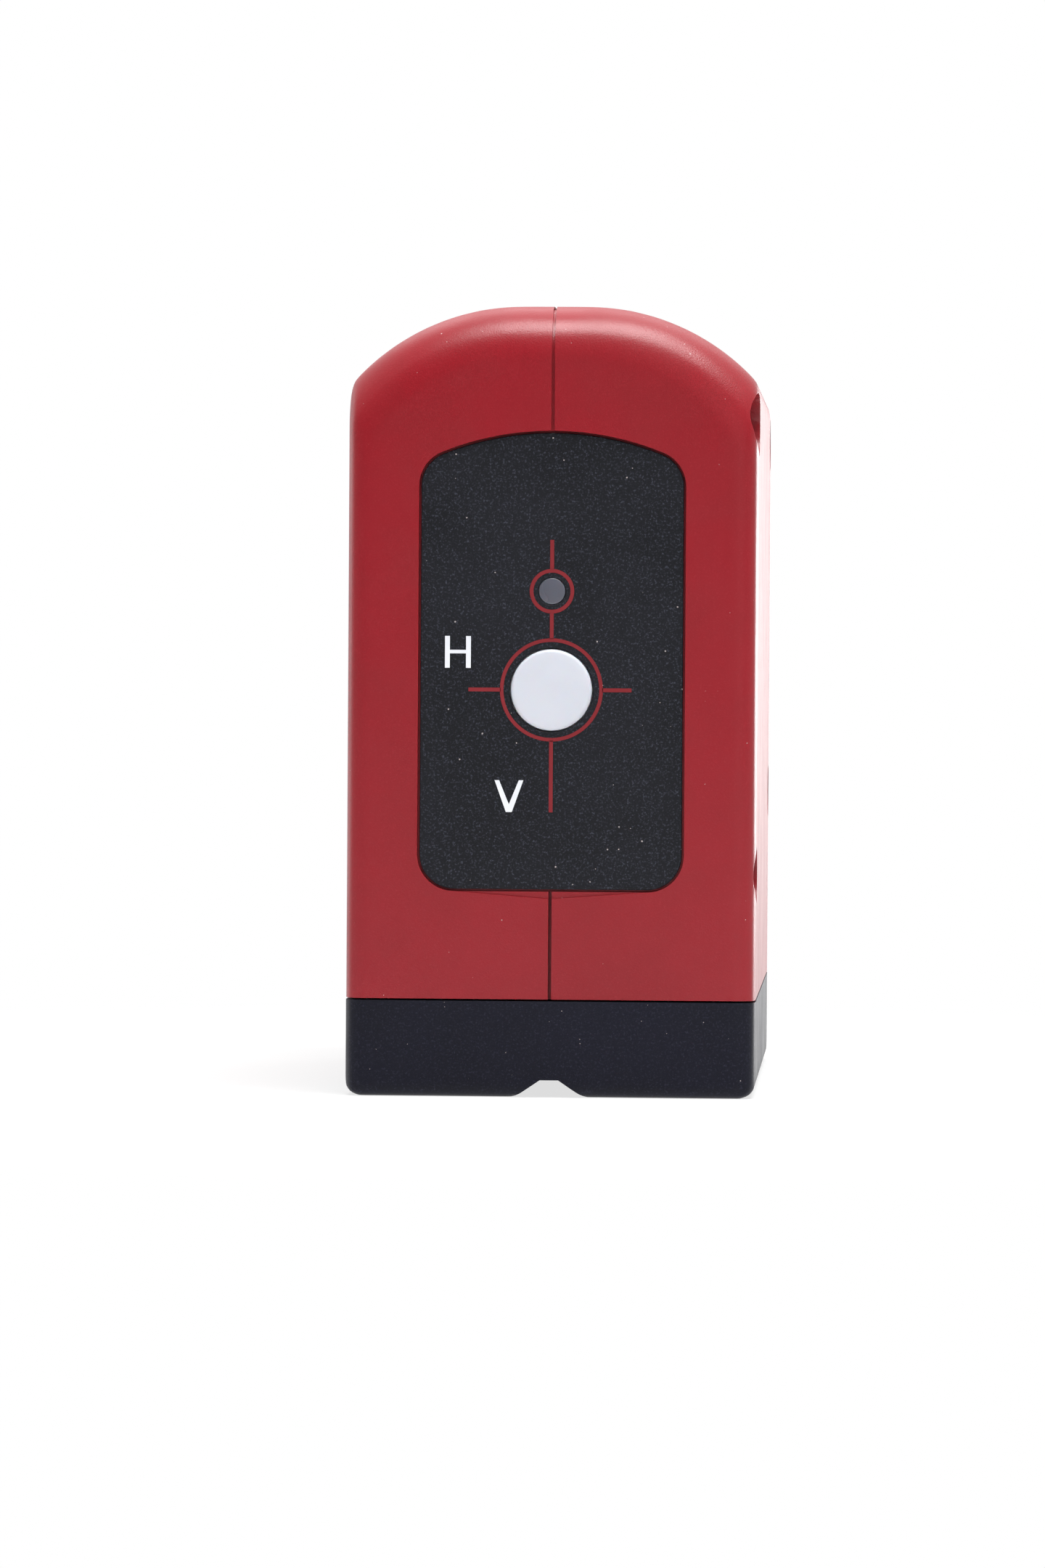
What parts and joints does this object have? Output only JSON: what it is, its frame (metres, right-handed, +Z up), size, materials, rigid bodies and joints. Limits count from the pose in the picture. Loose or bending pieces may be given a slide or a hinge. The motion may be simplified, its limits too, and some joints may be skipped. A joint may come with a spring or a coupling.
{
  "type": "cross-line laser level",
  "caption": "Compact self-levelling cross-line laser level: arched two-part shell, key panel, laser window, grooved base with tripod thread.",
  "frame": {"origin": "centre of the base's resting face, under the middle of the body", "axes": "+Z up, the laser window faces +Y, the key panel faces -Y, +X is the right side seen from the key panel"},
  "size_m": [0.0556, 0.096, 0.107],
  "materials": {
    "red_shell": "satin",
    "label_black": "matte",
    "base_black": "satin",
    "black_plastic": "satin",
    "key_white": "satin",
    "lamp_grey": "satin",
    "led_clear": "gloss",
    "dark_screw": "satin",
    "steel": "satin",
    "brass": "satin",
    "copper": "satin",
    "diode_gold": "polished",
    "cast_alloy": "matte",
    "magnet_nickel": "polished",
    "board_green": "satin",
    "component_black": "matte",
    "rubber_black": "matte",
    "window_clear": "polished",
    "lens_glass": "polished",
    "cell_wrap": "satin",
    "lead_insulation": "satin"
  },
  "bodies": {
    "case": {"left_shell": "red_shell", "right_shell": "red_shell", "case_screws": "dark_screw", "board_screws": "dark_screw", "base_screws": "dark_screw", "chassis_screws": "dark_screw", "label_panel": "label_black", "lamp_window": "lamp_grey", "status_lamp": "led_clear", "tact_switch": "steel", "main_board": "board_green", "board_components": "component_black", "base_housing": "base_black", "tripod_insert": "brass", "base_magnets": "magnet_nickel", "damping_magnets": "magnet_nickel", "window_gasket": "rubber_black", "window_bezel": "black_plastic", "window_glass": "window_clear", "battery_tray": "black_plastic", "cell_left": "cell_wrap", "cell_right": "cell_wrap", "spring_contact": "steel", "flat_contact": "steel", "battery_leads": "lead_insulation", "door_hinge_pin": "steel", "chassis": "cast_alloy", "chassis_bearings": "steel"},
    "key": {"key_cap": "key_white", "switch_plunger": "black_plastic"},
    "door": {"battery_door": "red_shell", "door_contact": "steel"},
    "lock": {"lock_thumb": "black_plastic", "lock_arm": "steel", "lock_screw": "dark_screw", "lock_pad": "rubber_black"},
    "gimbal": {"gimbal_cross": "brass", "pitch_pins": "steel", "roll_axle": "steel"},
    "pendulum": {"pendulum_body": "cast_alloy", "pendulum_bearings": "steel", "damping_plate": "copper", "plate_screws": "dark_screw", "balance_screws": "dark_screw", "barrel_screws": "dark_screw", "h_barrel": "brass", "h_diode": "diode_gold", "h_collimator": "lens_glass", "h_line_lens": "lens_glass", "v_barrel": "brass", "v_diode": "diode_gold", "v_collimator": "lens_glass", "v_line_lens": "lens_glass"}
  },
  "joints": [
    {"name": "key_press", "type": "slide", "parent": "case", "child": "key", "axis": [0, 1, 0], "range_m": [0, 0.0005], "stiffness_N_per_m": 1200, "springref_m": -0.0004},
    {"name": "door_hinge", "type": "hinge", "parent": "case", "child": "door", "pos_m": [0, 0.046, 0.0177], "axis": [-1, 0, 0], "range_deg": [0, 90]},
    {"name": "lock_slide", "type": "slide", "parent": "case", "child": "lock", "axis": [0, 0, 1], "range_m": [0, 0.0025]},
    {"name": "gimbal_pitch", "type": "hinge", "parent": "case", "child": "gimbal", "pos_m": [0, 0.015, 0.086], "axis": [1, 0, 0], "range_deg": [-4.5, 4.5]},
    {"name": "pendulum_roll", "type": "hinge", "parent": "gimbal", "child": "pendulum", "pos_m": [0, 0.015, 0.086], "axis": [0, 1, 0], "range_deg": [-4.5, 4.5]}
  ]
}
